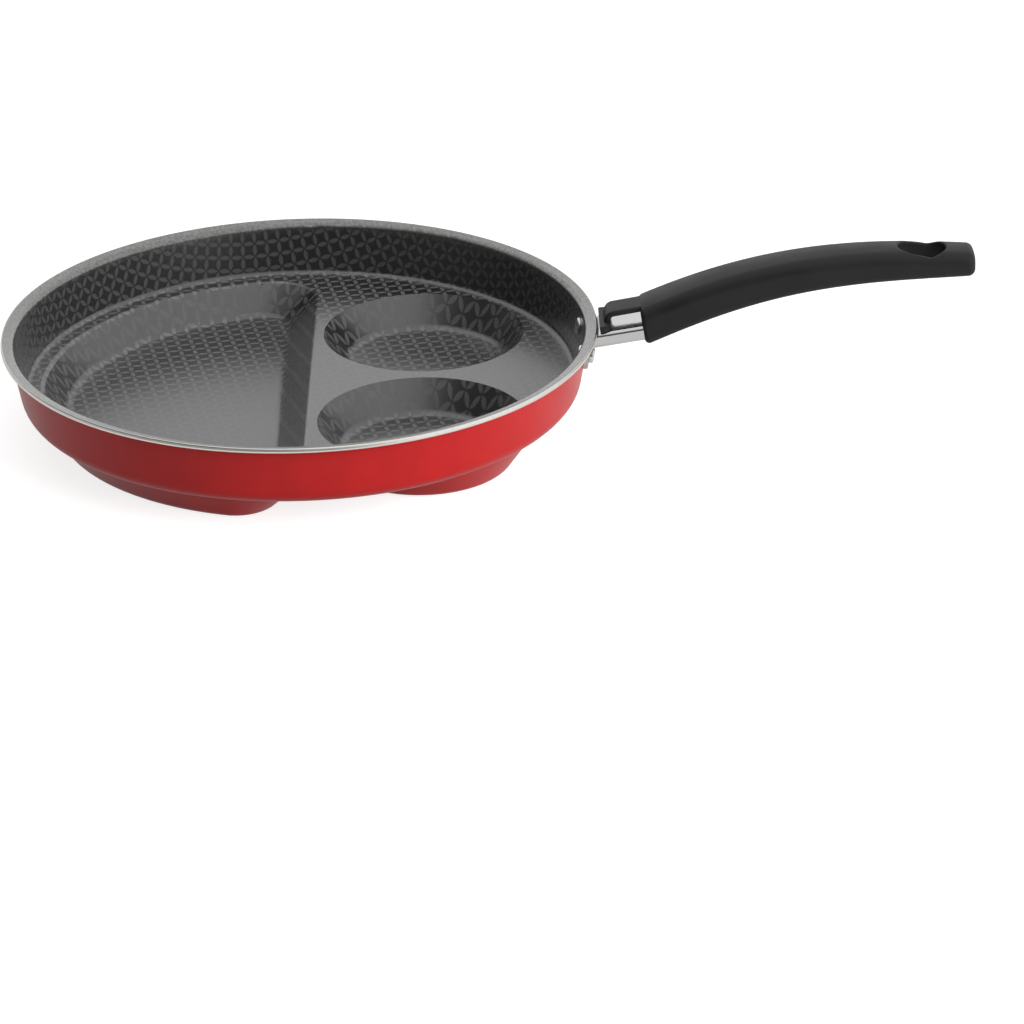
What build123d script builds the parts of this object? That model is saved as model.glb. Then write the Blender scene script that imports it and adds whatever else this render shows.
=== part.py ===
from build123d import *
import os
from math import asin, atan2, cos, radians, sin, sqrt, tan

# Divided frying pan: one cast body with a half-moon tray and two round wells,
# and a fixed moulded grip on a riveted steel bracket.
# Millimetres. +Z is up and +X runs from the rim's axis towards the grip.
# The origin is on the rim's axis, in the plane that the pan stands on.

# Thicknesses of the cast body: its wall and lip, its floors and shelf, and the walls of its pockets
wall_thickness = 2.4
base_thickness = 6.0
pocket_wall = 5.2

# Depths inside: from the rim to the shelf, and from the shelf to the floors
bowl_depth = 26.0
pocket_depth = 14.8

# Bowl wall and lip
rim_radius = 140.0
lip_width = 6.2
wall_lean = 10.0
lip_slope = 14.0
wall_foot_round = 3.0
body_foot_round = 8.0
lip_round = 3.0
lip_under_round = 0.6
lip_edge_round = 0.8

# Half-moon tray, on the side away from the grip: how far its walls run in from mouth to floor
tray_ledge = 4.1
tray_wall_run = 9.6
tray_chord_run = 14.6
tray_mouth_corner = 22.0
tray_floor_corner = 13.0

# Two round wells, on the grip's side
well_mouth_radius = 48.3
well_wall_run = 10.3

# Flat lands of the shelf between the pockets' mouths, and from a well to the wall's foot
land_between_wells = 4.6
land_well_to_tray = 2.4
land_well_to_wall = 0.15

# Soft edges of the tray and the wells, inside and under them
mouth_round = 2.5
floor_round = 5.0
underside_round = 6.0

# Rivets through the wall
rivet_pitch = 33.2
rivet_drop = 9.5
rivet_shank_radius = 2.2
rivet_head_radius = 3.9
rivet_head_height = 1.3
rivet_head_round = 1.1
rivet_tail_radius = 3.5
rivet_tail_height = 1.8
rivet_tail_round = 0.7

# Steel bracket: a plate on the wall and a tang that the grip is screwed to
plate_thickness = 2.0
plate_width = 44.0
plate_height = 12.6
plate_drop = 3.9
plate_corner = 4.0
tang_bend_in_grip = 5.5
tang_in_grip = 27.0
tang_rise = 30.0
tang_end_corner = 5.0

# Flame guard: a polished steel sleeve round the tang, rising from the wall to the grip
guard_width = 24.7
guard_depth = 7.2
guard_wall = 1.0
guard_corner = 2.2
guard_rise = 9.0
guard_drop = 5.5
guard_in_grip = 3.5

# Grip: an arched moulding, drawn as cross-sections along a centre line
grip_stand_off = 21.0
grip_length = 154.5
grip_over_guard = 3.0
grip_start_rise = 24.5
grip_arch_radius = 300.0
grip_front_width = 28.5
grip_end_width = 22.2
grip_front_depth = 17.8
grip_middle_depth = 17.8
grip_end_depth = 12.6
grip_crown = 1.6
grip_front_belly = 1.0
grip_end_belly = 2.4
grip_side_draft = 0.8
grip_top_round = 6.0
grip_bottom_round = 3.4
grip_front_round = 2.2
grip_end_round = 3.5

# Tongue and foot of the grip, over the flame guard and up to the rim
tongue_width = 14.6
tongue_thickness = 2.8
tongue_root_drop = 1.8
tongue_bend_out = 4.9
tongue_bend_over_rim = 5.5
tongue_tip_out = 3.4
tongue_tip_over_rim = 0.2
tongue_bend_round = 3.2
tongue_edge_round = 1.2
foot_width = 24.2
foot_depth = 5.4
foot_thickness = 3.2
foot_corner = 4.5

# Hanging hole
hole_length = 22.6
hole_end_radius = 8.3
hole_front_radius = 7.3
hole_to_end = 13.2
hole_edge_round = 1.0

# Grip screw, driven from below into the tang
screw_in_grip = 19.0
screw_radius = 2.0
screw_head_radius = 3.6
screw_head_height = 2.2
screw_head_round = 0.5
screw_head_sunk = 0.8
screw_point = 1.2
screw_slot_width = 1.0
screw_slot_depth = 1.0

# Clearances: round a shank, between two fitted faces, and from the rim to what stands beside it
hole_clearance = 0.1
fit = 0.1
rim_gap = 0.3

# Worked out: shifts of a leaning wall and of the sloping lip for each millimetre of height or reach
wall_shift = tan(radians(wall_lean))
lip_shift = tan(radians(lip_slope))

# Worked out: levels above the plane that the pan stands on
shelf_height = base_thickness + pocket_depth
shelf_underside = shelf_height - base_thickness
pan_height = shelf_height + bowl_depth

# Worked out: the inside lines of the lip and the wall, from the rim down to the shelf
lip_reach = rim_radius - wall_thickness * sin(radians(lip_slope))
neck_radius = rim_radius - lip_width
neck_height = pan_height - (lip_reach - neck_radius) * lip_shift
shelf_radius = neck_radius - (neck_height - shelf_height) * wall_shift

# Worked out: the flat part of the shelf ends where the round foot of the wall begins
shelf_flat_radius = shelf_radius - wall_foot_round * tan(radians(90 - wall_lean) / 2)


def wall_inside(height):
    """Radius of the bowl's inside wall at a height."""
    return shelf_radius + (height - shelf_height) * wall_shift


def wall_outside(height):
    """Radius of the bowl's outside wall at a height."""
    return wall_inside(height) + wall_thickness / cos(radians(wall_lean))


def lip_under(radius):
    """Height of the lip's underside at a radius."""
    return pan_height - (lip_reach - radius) * lip_shift - wall_thickness / cos(radians(lip_slope))


def mouth_roll(wall_run):
    """How far the soft edge of a pocket's mouth reaches past its wall's line."""
    return mouth_round * tan(atan2(pocket_depth, wall_run) / 2)


def skin(wall_run):
    """How far a pocket's outside lies beyond its floor's and its mouth's outline, at the levels drawn."""
    lean = atan2(wall_run, pocket_depth)
    across = pocket_wall / cos(lean)
    return across - base_thickness * tan(lean), across


def half_moon(level, radius, chord, corner):
    """A half-moon outline at a level: an arc about the rim's axis, a chord and two rounded corners."""
    with BuildSketch(Plane.XY.offset(level)) as outline:
        Circle(radius)
        with Locations((chord - radius, 0)):
            Rectangle(2 * radius, 2 * radius, mode=Mode.INTERSECT)
        fillet(outline.vertices(), corner)
    return outline.sketch


# Worked out: the wells lie side by side, against the wall's foot, and the tray lies beside them
well_reach = well_mouth_radius + mouth_roll(well_wall_run)
well_y = well_reach + land_between_wells / 2
well_distance = shelf_flat_radius - land_well_to_wall - well_reach
well_x = sqrt(well_distance**2 - well_y**2)
well_floor_radius = well_mouth_radius - well_wall_run
tray_mouth_radius = shelf_flat_radius - tray_ledge - mouth_roll(tray_wall_run)
tray_floor_radius = tray_mouth_radius - tray_wall_run
tray_mouth_chord = well_x - well_reach - land_well_to_tray - mouth_roll(tray_chord_run)
tray_floor_chord = tray_mouth_chord - tray_chord_run
tray_foot_skin, tray_top_skin = skin(tray_wall_run)
chord_foot_skin, chord_top_skin = skin(tray_chord_run)
well_foot_skin, well_top_skin = skin(well_wall_run)
well_centres = Locations((well_x, well_y), (well_x, -well_y))


rivet_height = pan_height - rivet_drop


def rivet_plane(side):
    """A plane on the inside of the wall at one rivet, facing out through the wall."""
    radius = wall_inside(rivet_height)
    turn = side * asin(rivet_pitch / 2 / radius)
    lean = radians(wall_lean)
    place = (radius * cos(turn), radius * sin(turn), rivet_height)
    return Plane(origin=place, z_dir=(cos(lean) * cos(turn), cos(lean) * sin(turn), -sin(lean)))


rivet_places = (rivet_plane(1), rivet_plane(-1))
rivet_stack = wall_thickness + plate_thickness + fit

# Worked out: where the outside of the wall meets the underside of the lip
under_neck_drop = (lip_reach - wall_outside(pan_height)) * lip_shift + wall_thickness / cos(radians(lip_slope))
under_neck_height = pan_height - under_neck_drop / (1 - lip_shift * wall_shift)


# Pan body: a profile turned about the axis makes the bowl, then the pockets are sunk into its base
with BuildPart() as pan_body:
    with BuildSketch(Plane.XZ):
        with BuildLine():
            inside = FilletPolyline(
                (0, shelf_height),
                (shelf_radius, shelf_height),
                (neck_radius, neck_height),
                (lip_reach, pan_height),
                radius=(wall_foot_round, lip_round),
            )
            outside = FilletPolyline(
                (0, shelf_underside),
                (wall_outside(shelf_underside), shelf_underside),
                (wall_outside(under_neck_height), under_neck_height),
                (rim_radius, lip_under(rim_radius)),
                radius=(body_foot_round, lip_under_round),
            )
            Line(inside @ 0, outside @ 0)
            Line(inside @ 1, outside @ 1)
        make_face()
    revolve(axis=Axis.Z)
    fillet(pan_body.edges().filter_by(GeomType.CIRCLE).sort_by(SortBy.RADIUS)[-2:], lip_edge_round)

    # Outsides of the pockets, with their soft lower edges
    tray_foot = half_moon(
        0,
        tray_floor_radius + tray_foot_skin,
        tray_floor_chord + chord_foot_skin,
        tray_floor_corner + pocket_wall,
    )
    tray_top = half_moon(
        shelf_height,
        tray_mouth_radius + tray_top_skin,
        tray_mouth_chord + chord_top_skin,
        tray_mouth_corner + pocket_wall,
    )
    loft((tray_foot, tray_top), ruled=True)
    with well_centres:
        Cone(
            well_floor_radius + well_foot_skin,
            well_mouth_radius + well_top_skin,
            shelf_height,
            align=(Align.CENTER, Align.CENTER, Align.MIN),
        )
    fillet(pan_body.edges().group_by(Axis.Z)[0], underside_round)

    # Insides of the pockets, then the soft edges of their floors and mouths
    tray_floor = half_moon(base_thickness, tray_floor_radius, tray_floor_chord, tray_floor_corner)
    tray_mouth = half_moon(shelf_height, tray_mouth_radius, tray_mouth_chord, tray_mouth_corner)
    loft((tray_floor, tray_mouth), ruled=True, mode=Mode.SUBTRACT)
    with well_centres:
        with Locations((0, 0, base_thickness)):
            Cone(
                well_floor_radius,
                well_mouth_radius,
                pocket_depth,
                align=(Align.CENTER, Align.CENTER, Align.MIN),
                mode=Mode.SUBTRACT,
            )
    level_edges = pan_body.edges().filter_by(Plane.XY)
    fillet(level_edges.filter_by_position(Axis.Z, base_thickness, base_thickness), floor_round)
    mouth_edges = pan_body.edges().filter_by_position(Axis.Z, shelf_height, shelf_height)
    fillet(mouth_edges.sort_by(SortBy.LENGTH)[:-1], mouth_round)

    # Rivet holes
    with Locations(*rivet_places):
        Hole(rivet_shank_radius + hole_clearance, depth=2 * rivet_stack)
pan_body.part.label = "pan_body"


# One rivet along its own axis: a low head at the bottom, the shank and a tail
with BuildPart() as rivet:
    with Locations((0, 0, -fit)):
        Cylinder(rivet_shank_radius, rivet_stack + 2 * fit, align=(Align.CENTER, Align.CENTER, Align.MIN))
        Cylinder(rivet_head_radius, rivet_head_height, align=(Align.CENTER, Align.CENTER, Align.MAX))
    fillet(rivet.edges().sort_by(Axis.Z)[0], rivet_head_round)
    with Locations((0, 0, rivet_stack + fit)):
        Cylinder(rivet_tail_radius, rivet_tail_height, align=(Align.CENTER, Align.CENTER, Align.MIN))
    fillet(rivet.edges().sort_by(Axis.Z)[-1], rivet_tail_round)

# Wall rivets: two separate solids, with their heads inside the bowl and their tails on the plate
with BuildPart() as wall_rivets:
    with Locations(*rivet_places):
        add(rivet.part)
wall_rivets.part.label = "wall_rivets"


# Worked out: the middle line of the flame guard and of the tang inside it
guard_shift = tan(radians(guard_rise))
guard_height_at_rim = pan_height - guard_drop
grip_front = rim_radius + grip_stand_off


def guard_middle(x):
    """Height of the flame guard's middle line."""
    return guard_height_at_rim + (x - rim_radius) * guard_shift


def across_guard(x):
    """A plane across the flame guard, facing the grip."""
    rise = radians(guard_rise)
    return Plane(origin=(x, 0, guard_middle(x)), x_dir=(0, 1, 0), z_dir=(cos(rise), 0, sin(rise)))


guard_start = wall_inside(guard_height_at_rim)
plate_top = pan_height - plate_drop
plate_bottom = plate_top - plate_height
plate_skin = plate_thickness / cos(radians(wall_lean))
tang_width = guard_width - 2 * guard_corner
tang_thickness = guard_depth - 2 * (guard_wall + fit)
tang_start = wall_outside(guard_height_at_rim) + fit + plate_thickness / 2
tang_bend = grip_front + tang_bend_in_grip
tang_end = grip_front + tang_in_grip


def bent_tang(x):
    """Height of the tang's middle line beyond its bend."""
    return guard_middle(tang_bend) + (x - tang_bend) * tan(radians(tang_rise))


def tang_points(first, last):
    """The tang's middle line between two places along X, with its bend."""
    return (
        (first, guard_middle(first)),
        (tang_bend, guard_middle(tang_bend)),
        (last, bent_tang(last)),
    )


# A plane through the tang's middle at the screw, facing down along the screw
screw_place = grip_front + screw_in_grip
screw_height = bent_tang(screw_place)
screw_plane = Plane(
    origin=(screw_place, 0, screw_height),
    x_dir=(0, 1, 0),
    z_dir=(sin(radians(tang_rise)), 0, -cos(radians(tang_rise))),
)


# Handle bracket: a plate bent to the wall, with a tang that turns up into the grip
with BuildPart() as handle_bracket:
    with BuildSketch(Plane.XZ):
        with BuildLine():
            Polyline(
                (wall_outside(plate_bottom) + fit, plate_bottom),
                (wall_outside(plate_bottom) + fit + plate_skin, plate_bottom),
                (wall_outside(plate_top) + fit + plate_skin, plate_top),
                (wall_outside(plate_top) + fit, plate_top),
                close=True,
            )
        make_face()
    revolve(axis=Axis.Z)
    with BuildSketch(Plane.YZ):
        with Locations((0, (plate_bottom + plate_top) / 2)):
            RectangleRounded(plate_width, plate_top - plate_bottom, plate_corner)
    extrude(amount=rim_radius + plate_thickness, mode=Mode.INTERSECT)
    with BuildSketch(Plane.XZ):
        with BuildLine() as tang_middle:
            Polyline(*tang_points(tang_start, tang_end))
        trace(tang_middle.line, line_width=tang_thickness)
    extrude(amount=tang_width / 2, both=True)
    end_corners = handle_bracket.faces().sort_by(Axis.X)[-1].edges().filter_by(Plane.XZ)
    fillet(end_corners, tang_end_corner)
    with Locations(*rivet_places):
        Hole(rivet_shank_radius + hole_clearance, depth=2 * rivet_stack)
    with Locations(screw_plane):
        Hole(screw_radius + hole_clearance, depth=tang_thickness)
handle_bracket.part.label = "handle_bracket"


# Flame guard: a flattened tube with soft corners, cut to clear the plate and the lip
with BuildPart() as flame_guard:
    with BuildSketch(across_guard(guard_start)):
        RectangleRounded(guard_width, guard_depth, guard_corner)
        offset(amount=-guard_wall, mode=Mode.SUBTRACT)
    extrude(amount=(grip_front + guard_in_grip - guard_start) / cos(radians(guard_rise)))
    plate_reach = fit + plate_skin + fit
    notch_height = lip_under(wall_outside(plate_top)) - rim_gap
    with BuildSketch(Plane.XZ):
        with BuildLine():
            Polyline(
                (0, 0),
                (wall_outside(0) + plate_reach, 0),
                (wall_outside(notch_height) + plate_reach, notch_height),
                (rim_radius + rim_gap, notch_height),
                (rim_radius + rim_gap, 2 * pan_height),
                (0, 2 * pan_height),
                close=True,
            )
        make_face()
    revolve(axis=Axis.Z, mode=Mode.SUBTRACT)
flame_guard.part.label = "flame_guard"


# Worked out: the grip's middle line climbs on an arc, levels out and runs flat to the end
grip_end = grip_front + grip_length
grip_start_height = guard_middle(grip_front) + grip_over_guard
arch_x = grip_front + grip_arch_radius * sin(radians(grip_start_rise))
arch_height = grip_start_height + grip_arch_radius * (1 - cos(radians(grip_start_rise)))


def grip_section(x, width, depth, belly):
    """A cross-section of the grip at a place along X: a crowned top, drafted sides and a soft belly."""
    rise = asin(max(0, arch_x - x) / grip_arch_radius)
    height = arch_height - grip_arch_radius * (1 - cos(rise))
    shoulder = depth / 2 - grip_crown
    heel = belly - depth / 2
    half_top = width / 2 - grip_side_draft
    with BuildSketch(Plane(origin=(x, 0, height), x_dir=(0, 1, 0), z_dir=(cos(rise), 0, sin(rise)))) as section:
        with BuildLine():
            ThreePointArc((-half_top, shoulder), (0, depth / 2), (half_top, shoulder))
            Line((half_top, shoulder), (width / 2, heel))
            ThreePointArc((width / 2, heel), (0, -depth / 2), (-width / 2, heel))
            Line((-width / 2, heel), (-half_top, shoulder))
        make_face()
        fillet(section.vertices().group_by(Axis.Y)[-1], grip_top_round)
        fillet(section.vertices().group_by(Axis.Y)[0], grip_bottom_round)
    return section.sketch


def along(share):
    """Width at a share of the way along the grip, which tapers evenly."""
    return grip_front_width + share * (grip_end_width - grip_front_width)


# The tongue springs from below the top of the grip's front
grip_front_top = grip_start_height + grip_front_depth / 2 / cos(radians(grip_start_rise))

# The foot stands on the guard's top, clear of the rim over its whole thickness
guard_top = guard_depth / 2 + fit
foot_back = (rim_gap + (guard_top + foot_thickness) * sin(radians(guard_rise))) / cos(radians(guard_rise))
guard_top_plane = Plane(
    origin=(rim_radius, 0, guard_middle(rim_radius)),
    x_dir=(cos(radians(guard_rise)), 0, sin(radians(guard_rise))),
    z_dir=(-sin(radians(guard_rise)), 0, cos(radians(guard_rise))),
).offset(guard_top)

# The screw's head is sunk below the grip's belly, which leans the other way by a few degrees
screw_arch = asin((arch_x - screw_place) / grip_arch_radius)
screw_to_middle = arch_height - grip_arch_radius * (1 - cos(screw_arch)) - screw_height
screw_depth = (grip_middle_depth / 2 - screw_to_middle * cos(screw_arch)) / cos(radians(tang_rise) - screw_arch)
head_top = screw_depth - screw_head_sunk

# Grip: cross-sections lofted along the arch, with a tongue and a foot moulded on its front
with BuildPart() as grip:
    first = grip_section(grip_front - grip_front_depth / 2, along(-0.06), grip_front_depth, grip_front_belly)
    second = grip_section(grip_front + grip_front_width, along(0.18), grip_middle_depth, grip_front_belly)
    third = grip_section((grip_front + arch_x) / 2, along(0.4), grip_middle_depth, grip_end_belly)
    fourth = grip_section(arch_x, along(0.8), (grip_middle_depth + grip_end_depth) / 2, grip_end_belly)
    last = grip_section(grip_end, along(1), grip_end_depth, grip_end_belly)
    loft((first, second, third, fourth, last))
    split(bisect_by=across_guard(grip_front), keep=Keep.TOP)
    fillet(grip.faces().sort_by(Axis.X)[0].edges(), grip_front_round)
    fillet(grip.faces().sort_by(Axis.X)[-1].edges(), grip_end_round)

    # Tongue: a soft-edged strip swept down to the foot
    with BuildLine(Plane.XZ) as tongue_line:
        FilletPolyline(
            (grip_front + tongue_thickness, grip_front_top - tongue_root_drop),
            (rim_radius + tongue_bend_out, pan_height + tongue_bend_over_rim),
            (rim_radius + tongue_tip_out, pan_height + tongue_tip_over_rim),
            radius=tongue_bend_round,
        )
    with BuildSketch(Plane(origin=tongue_line.line @ 0, x_dir=(0, 1, 0), z_dir=tongue_line.line % 0)):
        RectangleRounded(tongue_width, tongue_thickness, tongue_edge_round)
    sweep()

    # Foot
    with BuildSketch(guard_top_plane) as foot_outline:
        with Locations((foot_back + foot_depth / 2, 0)):
            Rectangle(foot_depth, foot_width)
        fillet(foot_outline.vertices().group_by(Axis.X)[-1], foot_corner)
    extrude(amount=foot_thickness)

    # Sockets for the end of the flame guard and for the tang
    with BuildSketch(across_guard(grip_front)):
        RectangleRounded(guard_width + 2 * fit, guard_depth + 2 * fit, guard_corner + fit)
    extrude(amount=(guard_in_grip + fit) / cos(radians(guard_rise)), mode=Mode.SUBTRACT)
    with BuildSketch(Plane.XZ):
        with BuildLine() as socket_line:
            Polyline(*tang_points(grip_front, tang_end + fit))
        trace(socket_line.line, line_width=tang_thickness + 2 * fit)
    extrude(amount=tang_width / 2 + fit, both=True, mode=Mode.SUBTRACT)

    # Screw hole from below, up to the tang, and its wider mouth round the head
    with Locations(screw_plane):
        Cylinder(
            screw_radius + hole_clearance,
            head_top,
            align=(Align.CENTER, Align.CENTER, Align.MIN),
            mode=Mode.SUBTRACT,
        )
        Cylinder(
            screw_radius + hole_clearance,
            tang_thickness / 2 + screw_point + fit,
            align=(Align.CENTER, Align.CENTER, Align.MAX),
            mode=Mode.SUBTRACT,
        )
    with Locations(screw_plane.offset(head_top - screw_head_height - fit)):
        Cylinder(
            screw_head_radius + hole_clearance,
            2 * screw_head_height,
            align=(Align.CENTER, Align.CENTER, Align.MIN),
            mode=Mode.SUBTRACT,
        )

    # Hanging hole, wider towards the grip's end
    with BuildSketch(Plane.XY.offset(arch_height - grip_end_depth)):
        with Locations((grip_end - hole_to_end - hole_end_radius, 0)):
            Circle(hole_end_radius)
        with Locations((grip_end - hole_to_end - hole_length + hole_front_radius, 0)):
            Circle(hole_front_radius)
        make_hull()
    extrude(amount=2 * grip_end_depth, mode=Mode.SUBTRACT)
    fillet(grip.edges(Select.LAST).filter_by(Axis.Z, reverse=True), hole_edge_round)
grip.part.label = "grip"


# Grip screw: a pan head with a slot, and a shank that goes through the tang
with BuildPart() as grip_screw:
    with Locations(screw_plane.offset(-tang_thickness / 2 - screw_point)):
        Cylinder(
            screw_radius,
            head_top - screw_head_height + tang_thickness / 2 + screw_point + fit,
            align=(Align.CENTER, Align.CENTER, Align.MIN),
        )
    with Locations(screw_plane.offset(head_top - screw_head_height)):
        Cylinder(screw_head_radius, screw_head_height, align=(Align.CENTER, Align.CENTER, Align.MIN))
    screw_axis = Axis(screw_plane.origin, screw_plane.z_dir)
    fillet(grip_screw.edges().sort_by(screw_axis)[-1], screw_head_round)
    with Locations(screw_plane.offset(head_top)):
        Box(
            screw_slot_width,
            2 * screw_head_radius,
            screw_slot_depth,
            align=(Align.CENTER, Align.CENTER, Align.MAX),
            mode=Mode.SUBTRACT,
        )
grip_screw.part.label = "grip_screw"


os.makedirs("parts", exist_ok=True)
for piece in (pan_body, wall_rivets, handle_bracket, flame_guard, grip, grip_screw):
    export_step(piece.part, f"parts/{piece.part.label}.step")
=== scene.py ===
from math import radians

import bmesh
import bpy
from bpy.props import FloatProperty, FloatVectorProperty, PointerProperty
from mathutils import Matrix, Vector


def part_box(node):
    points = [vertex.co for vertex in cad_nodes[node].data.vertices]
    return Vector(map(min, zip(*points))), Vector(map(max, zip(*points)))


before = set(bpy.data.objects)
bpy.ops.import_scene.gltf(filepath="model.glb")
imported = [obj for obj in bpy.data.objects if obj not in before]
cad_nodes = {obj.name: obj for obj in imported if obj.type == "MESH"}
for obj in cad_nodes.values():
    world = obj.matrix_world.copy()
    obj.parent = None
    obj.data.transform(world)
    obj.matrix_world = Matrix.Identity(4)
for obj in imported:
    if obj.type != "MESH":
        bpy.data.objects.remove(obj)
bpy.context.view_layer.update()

bl_info = {
    "name": "Divided frying pan finishes",
    "version": (1, 0, 0),
    "blender": (4, 5, 0),
    "location": "3D View > Sidebar > Frying Pan",
    "description": "Enamel, patterned coating, moulded grip, bright steel and a white studio for the pan",
    "category": "Material",
}

# The rim, from the frame, and the shelf's edge, where the bowl's wall starts
RIM_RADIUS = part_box("pan_body")[1].x
SHELF_HEIGHT = 0.0208
SHELF_RADIUS = 0.1269
WALL_START_BLUR = 0.0005
WALL_STRETCH = 0.84

# Interlocking circles, as shares of the repeat
SQUARE_ROOT_OF_HALF = 0.5**0.5
CIRCLE_GAP = 0.045
CIRCLE_SOFTNESS = 0.025

# Range in which the noise of the grain lies
NOISE_LOW = 0.3
NOISE_HIGH = 0.7

# Grain of the body, and of the lip's mottle
BODY_GRAIN = 0.0006
LIP_GRAIN = 0.0013
LIP_BLUR = 0.0004

# Direction of the white side of the room: right, behind the pan and above it
WHITE_SIDE = (1.1, 0.8, 1.0)
WHITE_SIDE_START = -0.40
WHITE_SIDE_FULL = 0.35

# Floor and lamps
FLOOR_SIZE = 6.0
FLOOR_GAP = 0.0004
KEY_LAMP_SPOT = (1.45, -1.05, 0.72)
KEY_LAMP_TARGET = (0.05, 0, 0.02)
KEY_LAMP_SIZE = 1.2
TOP_LAMP_SPOT = (-0.2, 0.2, 1.8)
TOP_LAMP_TARGET = (0, 0, 0)
TOP_LAMP_SIZE = 1.6

# Camera of the main picture
CAMERA_SPOT = (0.0885, -1.7682, 0.7855)
CAMERA_RIGHT = (0.9998, -0.0119, -0.0135)
CAMERA_DOWN = (-0.0173, -0.4279, -0.9037)


def colour(name, description, default):
    """A colour that a user can change."""
    return FloatVectorProperty(
        name=name, description=description, subtype="COLOR", size=3, min=0, max=1, default=default
    )


def share(name, description, default):
    """A share from none to all."""
    return FloatProperty(name=name, description=description, subtype="FACTOR", min=0, max=1, default=default)


def length(name, description, default):
    """A length in metres."""
    return FloatProperty(
        name=name, description=description, subtype="DISTANCE", unit="LENGTH", min=0, max=1, default=default
    )


def power(name, description, default):
    """A lamp's power in watts."""
    return FloatProperty(name=name, description=description, unit="POWER", min=0, max=500, default=default)


class BodyFinish(bpy.types.PropertyGroup):
    """Finishes of the cast body: enamel outside, patterned coating inside and a trimmed rim."""

    enamel: colour("Enamel", "Red enamel on the outside", (0.435, 0.0110, 0.0115))
    enamel_roughness: share("Enamel roughness", "How soft the enamel's reflections are", 0.32)
    ground: colour("Coating", "Glossy ground of the inside coating", (0.094, 0.094, 0.096))
    ground_metallic: share("Coating metallic", "How metallic the glossy ground is", 0.95)
    ground_roughness: share("Coating roughness", "How soft the ground's reflections are", 0.28)
    petal: colour("Petals", "Matt petals of the interlocking circles", (0.145, 0.145, 0.147))
    petal_metallic: share("Petal metallic", "How metallic the petals are", 0.30)
    petal_roughness: share("Petal roughness", "How matt the petals are", 0.52)
    # Painted shade: how much of the petals' colour is kept on steep faces, standing in for the weaker light
    # on the walls
    petal_wall_shade: share("Petals on walls", "How strong the petals' colour is on steep faces", 0.46)
    lip_mottle: share("Lip mottle", "How uneven the lip's tone is", 0.25)
    varnish: share("Varnish", "Clear gloss over the inside coating", 0.90)
    enamel_varnish: share("Enamel varnish", "Clear gloss over the enamel", 0.22)
    lip: colour("Lip", "Plain coating of the lip", (0.19, 0.19, 0.185))
    pattern_repeat: length("Pattern repeat", "Distance between the tips of neighbouring petals", 0.00665)
    pattern_turn: FloatProperty(
        name="Pattern turn",
        description="Turn of the printed pattern about the pan's axis",
        subtype="ANGLE",
        unit="ROTATION",
        default=radians(-12),
    )
    rim_metal: colour("Rim", "Bare metal at the trimmed edge of the rim", (0.80, 0.78, 0.74))
    rim_band: length("Rim band", "Width of the lip, which the pattern leaves free", 0.0066)
    bare_edge: length("Bare edge", "Width of the bare metal at the trimmed edge", 0.0009)


class GripFinish(bpy.types.PropertyGroup):
    """Finish of the moulded grip."""

    resin: colour("Resin", "Black moulding compound", (0.011, 0.011, 0.011))
    resin_roughness: share("Roughness", "How matt the grip is", 0.46)
    grain_size: length("Grain size", "Size of the moulded grain", 0.0007)
    grain_depth: share("Grain depth", "Strength of the moulded grain", 0.16)


class SteelFinish(bpy.types.PropertyGroup):
    """Finishes of the bracket, the flame guard, the rivets and the screw."""

    guard_steel: colour("Flame guard", "Polished steel of the flame guard", (0.60, 0.60, 0.605))
    guard_roughness: share("Guard roughness", "How soft the guard's reflections are", 0.10)
    bracket_steel: colour("Bracket", "Steel of the bracket", (0.50, 0.50, 0.49))
    bracket_roughness: share("Bracket roughness", "How soft the bracket's reflections are", 0.34)
    rivet_metal: colour("Rivets", "Aluminium of the rivets", (0.72, 0.72, 0.72))
    rivet_roughness: share("Rivet roughness", "How soft the rivets' reflections are", 0.26)
    screw_steel: colour("Screw", "Plated steel of the screw", (0.62, 0.62, 0.64))
    screw_roughness: share("Screw roughness", "How soft the screw's reflections are", 0.22)


class StudioSetting(bpy.types.PropertyGroup):
    """The white studio."""

    floor_tone: colour("Floor", "Colour of the floor", (0.45, 0.45, 0.45))
    floor_glow: share("Floor glow", "White that the camera sees on the floor beside its own light", 0.80)
    floor_mirror: share("Floor in mirrors", "White that mirror rays see beside the floor's light", 0.35)
    room_light: FloatProperty(
        name="Room light", description="Strength of the even light of the room", min=0, max=2, default=0.35
    )
    room_dark: share("Dark side of the room", "What mirror rays see away from the white side", 0.08)
    key_power: power("Key light", "Power of the large soft light at the front right", 42)
    top_power: power("Top light", "Power of the soft light overhead", 10)
    camera_lens: FloatProperty(
        name="Lens", description="Focal length in millimetres", min=10, max=500, default=143.37
    )


# Node building


def feed(tree, socket, value):
    """Links a socket to another one, or gives it a plain value."""
    if isinstance(value, bpy.types.NodeSocket):
        tree.links.new(value, socket)
    elif isinstance(socket.default_value, (int, float)):
        socket.default_value = value
    elif len(socket.default_value) == 4 and len(value) == 3:
        socket.default_value = (*value, 1)
    else:
        socket.default_value = tuple(value)


def place(tree, kind, **settings):
    """A new node, set up and laid out to the right of the last one."""
    made = tree.nodes.new(kind)
    made.location = (180 * (len(tree.nodes) % 12), -260 * (len(tree.nodes) // 12))
    for name, value in settings.items():
        setattr(made, name, value)
    return made


def calculate(tree, operation, *values, clamp=False):
    """One step of arithmetic."""
    made = place(tree, "ShaderNodeMath", operation=operation, use_clamp=clamp)
    for socket, value in zip(made.inputs, values):
        feed(tree, socket, value)
    return made.outputs[0]


def vector(tree, operation, *values):
    """One step of vector arithmetic."""
    made = place(tree, "ShaderNodeVectorMath", operation=operation)
    sockets = [socket for socket in made.inputs if socket.enabled]
    for socket, value in zip(sockets, values):
        feed(tree, socket, value)
    return next(socket for socket in made.outputs if socket.enabled)


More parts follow.
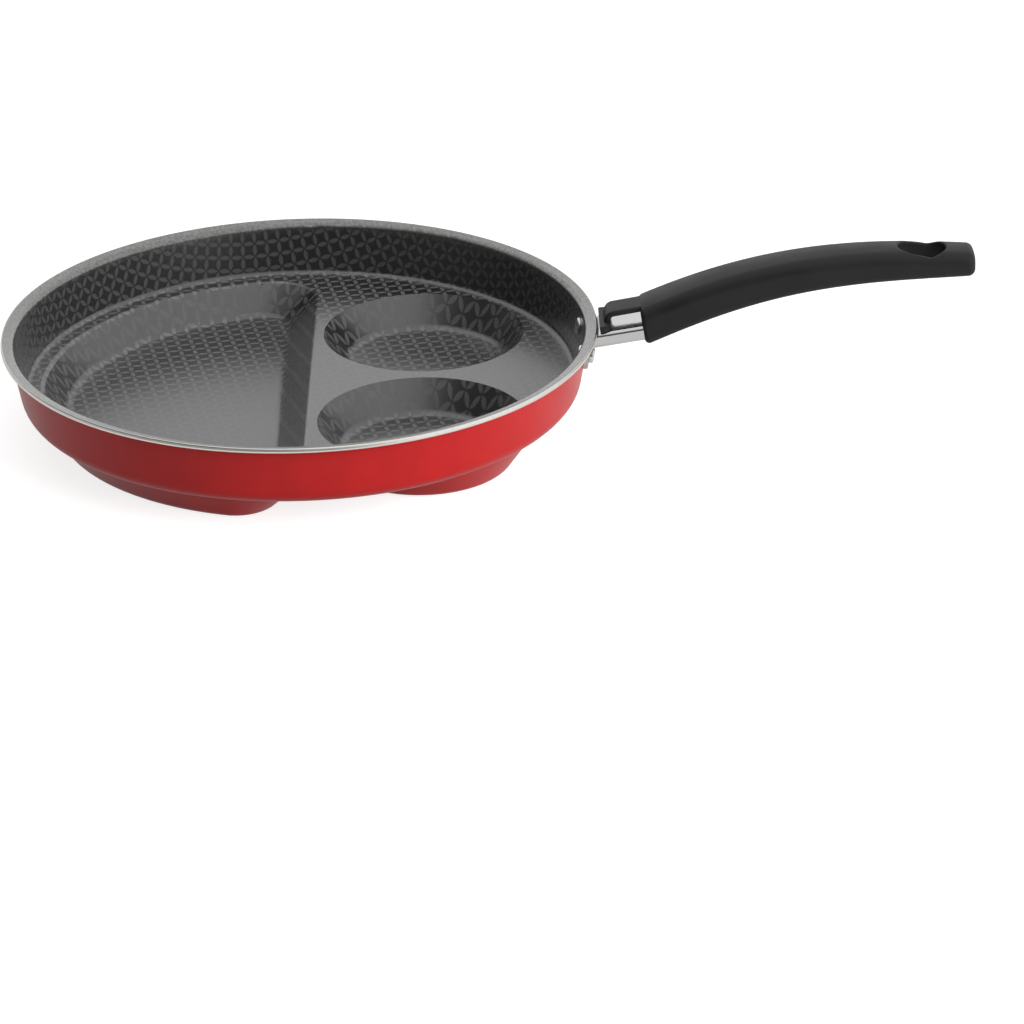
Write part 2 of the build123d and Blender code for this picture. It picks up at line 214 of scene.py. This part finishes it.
def ramp(tree, value, start, end, low=0.0, high=1.0):
    """A soft step from low to high as the value goes from start to end."""
    made = place(tree, "ShaderNodeMapRange", interpolation_type="SMOOTHSTEP")
    for socket, given in zip(made.inputs, (value, start, end, low, high)):
        feed(tree, socket, given)
    return made.outputs["Result"]


def uneven(tree, noise, low, high):
    """Noise spread between two values."""
    return ramp(tree, noise, NOISE_LOW, NOISE_HIGH, low, high)


def blend(tree, factor, first, second):
    """A colour between two."""
    made = place(tree, "ShaderNodeMix", data_type="RGBA")
    feed(tree, made.inputs["Factor"], factor)
    feed(tree, made.inputs[6], first)
    feed(tree, made.inputs[7], second)
    return made.outputs[2]


def level(tree, factor, first, second):
    """A number between two."""
    made = place(tree, "ShaderNodeMix", data_type="FLOAT")
    for socket, value in zip(made.inputs[:1] + made.inputs[2:4], (factor, first, second)):
        feed(tree, socket, value)
    return made.outputs[0]


def position(tree):
    """Places on the piece, in its own coordinates."""
    return place(tree, "ShaderNodeTexCoord").outputs["Object"]


def new_group(name, inputs, outputs):
    """An empty node group with its sockets."""
    tree = bpy.data.node_groups.new(name, "ShaderNodeTree")
    for label, kind, default in inputs:
        socket = tree.interface.new_socket(label, in_out="INPUT", socket_type=kind)
        if default is not None:
            socket.default_value = default
    for label, kind in outputs:
        tree.interface.new_socket(label, in_out="OUTPUT", socket_type=kind)
    return tree, place(tree, "NodeGroupInput").outputs, place(tree, "NodeGroupOutput").inputs


def use_group(tree, name, **values):
    """A node group with its values, as a dictionary of outputs."""
    made = place(tree, "ShaderNodeGroup")
    made.node_tree = bpy.data.node_groups[name]
    for label, value in values.items():
        feed(tree, made.inputs[label.replace("_", " ")], value)
    return made.outputs


def build_circles_group():
    """Interlocking circles: a mask of the petals where neighbouring circles cross."""
    tree, given, result = new_group(
        "Interlocking circles",
        (
            ("Place", "NodeSocketVector", None),
            ("Repeat", "NodeSocketFloat", 0.00665),
            ("Turn", "NodeSocketFloat", 0.0),
            ("Gap", "NodeSocketFloat", CIRCLE_GAP),
            ("Softness", "NodeSocketFloat", CIRCLE_SOFTNESS),
        ),
        (("Petals", "NodeSocketFloat"),),
    )
    turned = place(tree, "ShaderNodeVectorRotate", rotation_type="Z_AXIS")
    feed(tree, turned.inputs["Vector"], given["Place"])
    feed(tree, turned.inputs["Angle"], given["Turn"])
    counted = vector(tree, "SCALE", turned.outputs[0], calculate(tree, "DIVIDE", 1.0, given["Repeat"]))
    from_middle = vector(tree, "SUBTRACT", vector(tree, "FRACTION", counted), (0.5, 0.5, 0.5))
    cell = vector(tree, "ABSOLUTE", from_middle)
    flat = vector(tree, "MULTIPLY", cell, (1, 1, 0))
    across = vector(tree, "DISTANCE", flat, (0, 1, 0))
    along = vector(tree, "DISTANCE", flat, (1, 0, 0))
    inside = calculate(tree, "SUBTRACT", SQUARE_ROOT_OF_HALF, calculate(tree, "MINIMUM", across, along))
    start = calculate(tree, "SUBTRACT", given["Gap"], given["Softness"])
    end = calculate(tree, "ADD", given["Gap"], given["Softness"])
    feed(tree, result["Petals"], ramp(tree, inside, start, end))


def build_sheet_group():
    """Places on the pattern's flat sheet: the bowl's wall is rolled out beyond the shelf."""
    tree, given, result = new_group(
        "Flat sheet",
        (("Place", "NodeSocketVector", None),),
        (("Sheet", "NodeSocketVector"), ("Radius", "NodeSocketFloat")),
    )
    level_place = vector(tree, "MULTIPLY", given["Place"], (1, 1, 0))
    radius = vector(tree, "LENGTH", level_place)
    split = place(tree, "ShaderNodeSeparateXYZ")
    feed(tree, split.inputs[0], given["Place"])
    above_shelf = calculate(tree, "SUBTRACT", split.outputs["Z"], SHELF_HEIGHT)
    climb = calculate(tree, "MULTIPLY", above_shelf, WALL_STRETCH)
    on_wall = ramp(tree, radius, SHELF_RADIUS, SHELF_RADIUS + WALL_START_BLUR)
    roll = calculate(tree, "MULTIPLY", climb, on_wall)
    rolled_out = calculate(tree, "ADD", radius, roll)
    stretch = calculate(tree, "DIVIDE", rolled_out, calculate(tree, "MAXIMUM", radius, 0.001))
    feed(tree, result["Sheet"], vector(tree, "SCALE", level_place, stretch))
    feed(tree, result["Radius"], radius)


def build_grain_group():
    """Fine grain: small pits and a broader unevenness."""
    tree, given, result = new_group(
        "Fine grain",
        (("Place", "NodeSocketVector", None), ("Size", "NodeSocketFloat", 0.001)),
        (("Pits", "NodeSocketFloat"), ("Cloud", "NodeSocketFloat")),
    )
    scaled = vector(tree, "SCALE", given["Place"], calculate(tree, "DIVIDE", 1.0, given["Size"]))
    pits = place(tree, "ShaderNodeTexNoise", noise_dimensions="3D")
    feed(tree, pits.inputs["Vector"], scaled)
    feed(tree, pits.inputs["Scale"], 1.0)
    feed(tree, pits.inputs["Detail"], 2.0)
    cloud = place(tree, "ShaderNodeTexNoise", noise_dimensions="3D")
    feed(tree, cloud.inputs["Vector"], scaled)
    feed(tree, cloud.inputs["Scale"], 0.04)
    feed(tree, cloud.inputs["Detail"], 3.0)
    feed(tree, result["Pits"], pits.outputs[0])
    feed(tree, result["Cloud"], cloud.outputs[0])


def new_material(name):
    """An empty material: its tree and its shader."""
    material = bpy.data.materials.new(name)
    material.use_nodes = True
    tree = material.node_tree
    tree.nodes.clear()
    shader = place(tree, "ShaderNodeBsdfPrincipled")
    output = place(tree, "ShaderNodeOutputMaterial")
    tree.links.new(shader.outputs[0], output.inputs["Surface"])
    return material, tree, shader


def raise_surface(tree, shader, height, distance, strength):
    """Small heights on the surface."""
    bump = place(tree, "ShaderNodeBump")
    feed(tree, bump.inputs["Strength"], strength)
    feed(tree, bump.inputs["Distance"], distance)
    feed(tree, bump.inputs["Height"], height)
    tree.links.new(bump.outputs[0], shader.inputs["Normal"])


def dress(node_name, material):
    """Gives a CAD node its material."""
    piece = cad_nodes[node_name]
    if not piece.material_slots:
        piece.data.materials.append(material)
    for slot in piece.material_slots:
        slot.material = material


class FRYINGPAN_OT_coat_body(bpy.types.Operator):
    """Gives the cast body its red enamel, its patterned coating and its trimmed rim"""

    bl_idname = "fryingpan.coat_body"
    bl_label = "Coat the body"

    def execute(self, context):
        finish = context.scene.pan_body_finish
        material, tree, shader = new_material("pan_coatings")
        spot = position(tree)
        sheet = use_group(tree, "Flat sheet", Place=spot)
        radius = sheet["Radius"]
        circles = use_group(
            tree,
            "Interlocking circles",
            Place=sheet["Sheet"],
            Repeat=finish.pattern_repeat,
            Turn=finish.pattern_turn,
            Gap=CIRCLE_GAP,
            Softness=CIRCLE_SOFTNESS,
        )
        grain = use_group(tree, "Fine grain", Place=spot, Size=BODY_GRAIN)

        # Inside faces look up and outside faces look down
        facing = place(tree, "ShaderNodeSeparateXYZ")
        feed(tree, facing.inputs[0], place(tree, "ShaderNodeNewGeometry").outputs["Normal"])
        inside = ramp(tree, facing.outputs["Z"], -0.06, 0.02)

        neck = RIM_RADIUS - finish.rim_band
        on_lip = ramp(tree, radius, neck - LIP_BLUR, neck + LIP_BLUR)
        patterned = calculate(tree, "SUBTRACT", 1.0, on_lip)
        petals = calculate(tree, "MULTIPLY", circles["Petals"], patterned)
        bare = ramp(tree, radius, RIM_RADIUS - finish.bare_edge, RIM_RADIUS - finish.bare_edge / 2)

        speckle = uneven(tree, grain["Pits"], 0.92, 1.08)
        ground = vector(tree, "SCALE", tuple(finish.ground), speckle)
        mottle = use_group(tree, "Fine grain", Place=spot, Size=LIP_GRAIN)["Pits"]
        lip_tone = uneven(tree, mottle, 1 - finish.lip_mottle, 1 + finish.lip_mottle)
        plain = blend(tree, on_lip, ground, vector(tree, "SCALE", tuple(finish.lip), lip_tone))

        # Painted shade: the petals' colour is scaled down where the coating is steep, standing in for the
        # weaker light on the walls
        shaded_petal_tone = ramp(tree, facing.outputs["Z"], 0.3, 0.95, finish.petal_wall_shade, 1.0)
        coating = blend(tree, petals, plain, vector(tree, "SCALE", tuple(finish.petal), shaded_petal_tone))
        coated = blend(tree, bare, coating, tuple(finish.rim_metal))
        enamel_tone = uneven(tree, grain["Cloud"], 0.96, 1.04)
        worn_enamel = vector(tree, "SCALE", tuple(finish.enamel), enamel_tone)
        edge_enamel = blend(tree, bare, worn_enamel, tuple(finish.rim_metal))
        feed(tree, shader.inputs["Base Color"], blend(tree, inside, edge_enamel, coated))

        coat_metallic = level(tree, petals, finish.ground_metallic, finish.petal_metallic)
        coat_roughness = level(tree, petals, finish.ground_roughness, finish.petal_roughness)
        metallic = calculate(tree, "MAXIMUM", calculate(tree, "MULTIPLY", coat_metallic, inside), bare)
        feed(tree, shader.inputs["Metallic"], metallic)
        feed(tree, shader.inputs["Roughness"], level(tree, inside, finish.enamel_roughness, coat_roughness))
        feed(tree, shader.inputs["Specular IOR Level"], 0.12)
        varnish = level(tree, inside, finish.enamel_varnish, finish.varnish)
        feed(tree, shader.inputs["Coat Weight"], level(tree, bare, varnish, 0.0))
        feed(tree, shader.inputs["Coat Roughness"], 0.28)

        lift = calculate(tree, "MULTIPLY", petals, 0.5)
        height = calculate(tree, "MULTIPLY", calculate(tree, "ADD", grain["Pits"], lift), inside)
        raise_surface(tree, shader, height, 0.00004, 0.5)
        dress("pan_body", material)
        return {"FINISHED"}


class FRYINGPAN_OT_finish_grip(bpy.types.Operator):
    """Gives the grip its finely grained black resin"""

    bl_idname = "fryingpan.finish_grip"
    bl_label = "Finish the grip"

    def execute(self, context):
        finish = context.scene.pan_grip_finish
        material, tree, shader = new_material("grip_resin")
        grain = use_group(tree, "Fine grain", Place=position(tree), Size=finish.grain_size)
        tone = uneven(tree, grain["Cloud"], 0.9, 1.15)
        feed(tree, shader.inputs["Base Color"], vector(tree, "SCALE", tuple(finish.resin), tone))
        matt = finish.resin_roughness
        roughness = uneven(tree, grain["Cloud"], matt - 0.04, matt + 0.04)
        feed(tree, shader.inputs["Roughness"], roughness)
        feed(tree, shader.inputs["Specular IOR Level"], 0.25)
        raise_surface(tree, shader, grain["Pits"], 0.0002, finish.grain_depth)
        dress("grip", material)
        return {"FINISHED"}


def metal(name, base, roughness, brush_size, brush_depth, stretch=(1, 1, 1)):
    """A metal with fine marks, drawn out along one direction if stretched."""
    material, tree, shader = new_material(name)
    spot = vector(tree, "MULTIPLY", position(tree), stretch)
    grain = use_group(tree, "Fine grain", Place=spot, Size=brush_size)
    tone = uneven(tree, grain["Cloud"], 0.94, 1.04)
    feed(tree, shader.inputs["Base Color"], vector(tree, "SCALE", tuple(base), tone))
    feed(tree, shader.inputs["Roughness"], uneven(tree, grain["Pits"], roughness - 0.03, roughness + 0.05))
    feed(tree, shader.inputs["Metallic"], 1.0)
    raise_surface(tree, shader, grain["Pits"], 0.00005, brush_depth)
    return material


class FRYINGPAN_OT_finish_steel(bpy.types.Operator):
    """Gives the flame guard and the bracket their steel"""

    bl_idname = "fryingpan.finish_steel"
    bl_label = "Finish the steel"

    def execute(self, context):
        finish = context.scene.pan_steel_finish
        along_guard = (0.05, 1, 1)
        across_plate = (1, 0.1, 1)
        guard = metal("guard_steel", finish.guard_steel, finish.guard_roughness, 0.0008, 0.05, along_guard)
        dress("flame_guard", guard)
        bracket = metal(
            "bracket_steel", finish.bracket_steel, finish.bracket_roughness, 0.0006, 0.2, across_plate
        )
        dress("handle_bracket", bracket)
        return {"FINISHED"}


class FRYINGPAN_OT_finish_fasteners(bpy.types.Operator):
    """Gives the rivets and the grip's screw their metal"""

    bl_idname = "fryingpan.finish_fasteners"
    bl_label = "Finish the fasteners"

    def execute(self, context):
        finish = context.scene.pan_steel_finish
        dress("wall_rivets", metal("rivet_metal", finish.rivet_metal, finish.rivet_roughness, 0.0004, 0.1))
        dress("grip_screw", metal("screw_steel", finish.screw_steel, finish.screw_roughness, 0.0005, 0.1))
        return {"FINISHED"}


def area_lamp(name, spot, target, size, watts):
    """A large soft lamp that faces a target and is not seen in mirrors."""
    light = bpy.data.lights.new(name, "AREA")
    light.shape = "DISK"
    light.size = size
    light.energy = watts
    lamp = bpy.data.objects.new(name, light)
    bpy.context.scene.collection.objects.link(lamp)
    lamp.visible_glossy = False
    lamp.location = spot
    lamp.rotation_euler = (Vector(target) - Vector(spot)).to_track_quat("-Z", "Y").to_euler()


def ray_kinds(tree):
    """Masks of the rays from the camera and of the rays from mirrors."""
    path = place(tree, "ShaderNodeLightPath").outputs
    mirror = calculate(tree, "MAXIMUM", path["Is Glossy Ray"], path["Is Transmission Ray"])
    return path["Is Camera Ray"], mirror


class FRYINGPAN_OT_set_stage(bpy.types.Operator):
    """Sets the white studio: floor, room light, lamps and the camera"""

    bl_idname = "fryingpan.set_stage"
    bl_label = "Set the stage"

    def execute(self, context):
        scene = context.scene
        setting = scene.pan_studio
        scene.view_settings.view_transform = "Standard"

        # Room: white for the camera, white on one side for mirrors, and weaker as a light
        room = bpy.data.worlds.new("studio_room")
        room.use_nodes = True
        tree = room.node_tree
        tree.nodes.clear()
        camera_ray, mirror_ray = ray_kinds(tree)
        direction = place(tree, "ShaderNodeTexCoord").outputs["Generated"]
        towards = vector(tree, "DOT_PRODUCT", direction, WHITE_SIDE)
        wall = ramp(tree, towards, WHITE_SIDE_START, WHITE_SIDE_FULL, setting.room_dark, 1.0)
        strength = level(tree, camera_ray, level(tree, mirror_ray, setting.room_light, wall), 1.0)
        glow = place(tree, "ShaderNodeBackground")
        feed(tree, glow.inputs["Color"], (1, 1, 1))
        feed(tree, glow.inputs["Strength"], strength)
        output = place(tree, "ShaderNodeOutputWorld")
        tree.links.new(glow.outputs[0], output.inputs["Surface"])
        scene.world = room

        # Floor
        material, tree, shader = new_material("studio_floor")
        feed(tree, shader.inputs["Base Color"], tuple(setting.floor_tone))
        feed(tree, shader.inputs["Roughness"], 0.9)
        feed(tree, shader.inputs["Specular IOR Level"], 0.0)
        feed(tree, shader.inputs["Emission Color"], (1, 1, 1))
        camera_ray, mirror_ray = ray_kinds(tree)
        mirror_glow = calculate(tree, "MULTIPLY", mirror_ray, setting.floor_mirror)
        floor_light = level(tree, camera_ray, mirror_glow, setting.floor_glow)
        feed(tree, shader.inputs["Emission Strength"], floor_light)
        mesh = bpy.data.meshes.new("studio_floor")
        sheet = bmesh.new()
        bmesh.ops.create_grid(sheet, x_segments=1, y_segments=1, size=FLOOR_SIZE)
        bmesh.ops.translate(sheet, verts=sheet.verts, vec=(0, 0, -FLOOR_GAP))
        sheet.to_mesh(mesh)
        sheet.free()
        mesh.materials.append(material)
        floor = bpy.data.objects.new("studio_floor", mesh)
        scene.collection.objects.link(floor)

        # Lamps
        area_lamp("key_lamp", KEY_LAMP_SPOT, KEY_LAMP_TARGET, KEY_LAMP_SIZE, setting.key_power)
        area_lamp("top_lamp", TOP_LAMP_SPOT, TOP_LAMP_TARGET, TOP_LAMP_SIZE, setting.top_power)

        # Camera
        lens = bpy.data.cameras.new("photo_camera")
        lens.lens = setting.camera_lens
        lens.sensor_width = 36
        lens.clip_start = 0.1
        lens.clip_end = 50
        camera = bpy.data.objects.new("photo_camera", lens)
        scene.collection.objects.link(camera)
        right = Vector(CAMERA_RIGHT)
        down = Vector(CAMERA_DOWN)
        ahead = right.cross(-down).normalized() * -1
        axes = Matrix((right, -down, -ahead)).transposed()
        camera.matrix_world = Matrix.Translation(CAMERA_SPOT) @ axes.to_4x4()
        scene.camera = camera
        return {"FINISHED"}


class FRYINGPAN_PT_finishes(bpy.types.Panel):
    """Lists the pan's finishes and the studio"""

    bl_label = "Frying Pan"
    bl_idname = "FRYINGPAN_PT_finishes"
    bl_space_type = "VIEW_3D"
    bl_region_type = "UI"
    bl_category = "Frying Pan"

    def draw(self, context):
        for title, group in FINISH_GROUPS:
            box = self.layout.box()
            box.label(text=title)
            settings = getattr(context.scene, group)
            for key in settings.bl_rna.properties.keys():
                if key not in ("rna_type", "name"):
                    box.prop(settings, key)
        for operator in OPERATORS:
            self.layout.operator(operator.bl_idname)


FINISH_GROUPS = (
    ("Body", "pan_body_finish"),
    ("Grip", "pan_grip_finish"),
    ("Steel", "pan_steel_finish"),
    ("Studio", "pan_studio"),
)
SETTINGS = (BodyFinish, GripFinish, SteelFinish, StudioSetting)
OPERATORS = (
    FRYINGPAN_OT_coat_body,
    FRYINGPAN_OT_finish_grip,
    FRYINGPAN_OT_finish_steel,
    FRYINGPAN_OT_finish_fasteners,
    FRYINGPAN_OT_set_stage,
)


def register():
    for each in (*SETTINGS, *OPERATORS, FRYINGPAN_PT_finishes):
        bpy.utils.register_class(each)
    for (title, group), settings in zip(FINISH_GROUPS, SETTINGS):
        setattr(bpy.types.Scene, group, PointerProperty(type=settings, name=title))


def unregister():
    for title, group in FINISH_GROUPS:
        delattr(bpy.types.Scene, group)
    for each in reversed((*SETTINGS, *OPERATORS, FRYINGPAN_PT_finishes)):
        bpy.utils.unregister_class(each)


def main():
    register()
    build_circles_group()
    build_sheet_group()
    build_grain_group()
    bpy.ops.fryingpan.coat_body()
    bpy.ops.fryingpan.finish_grip()
    bpy.ops.fryingpan.finish_steel()
    bpy.ops.fryingpan.finish_fasteners()
    bpy.ops.fryingpan.set_stage()


if __name__ == "__main__":
    main()
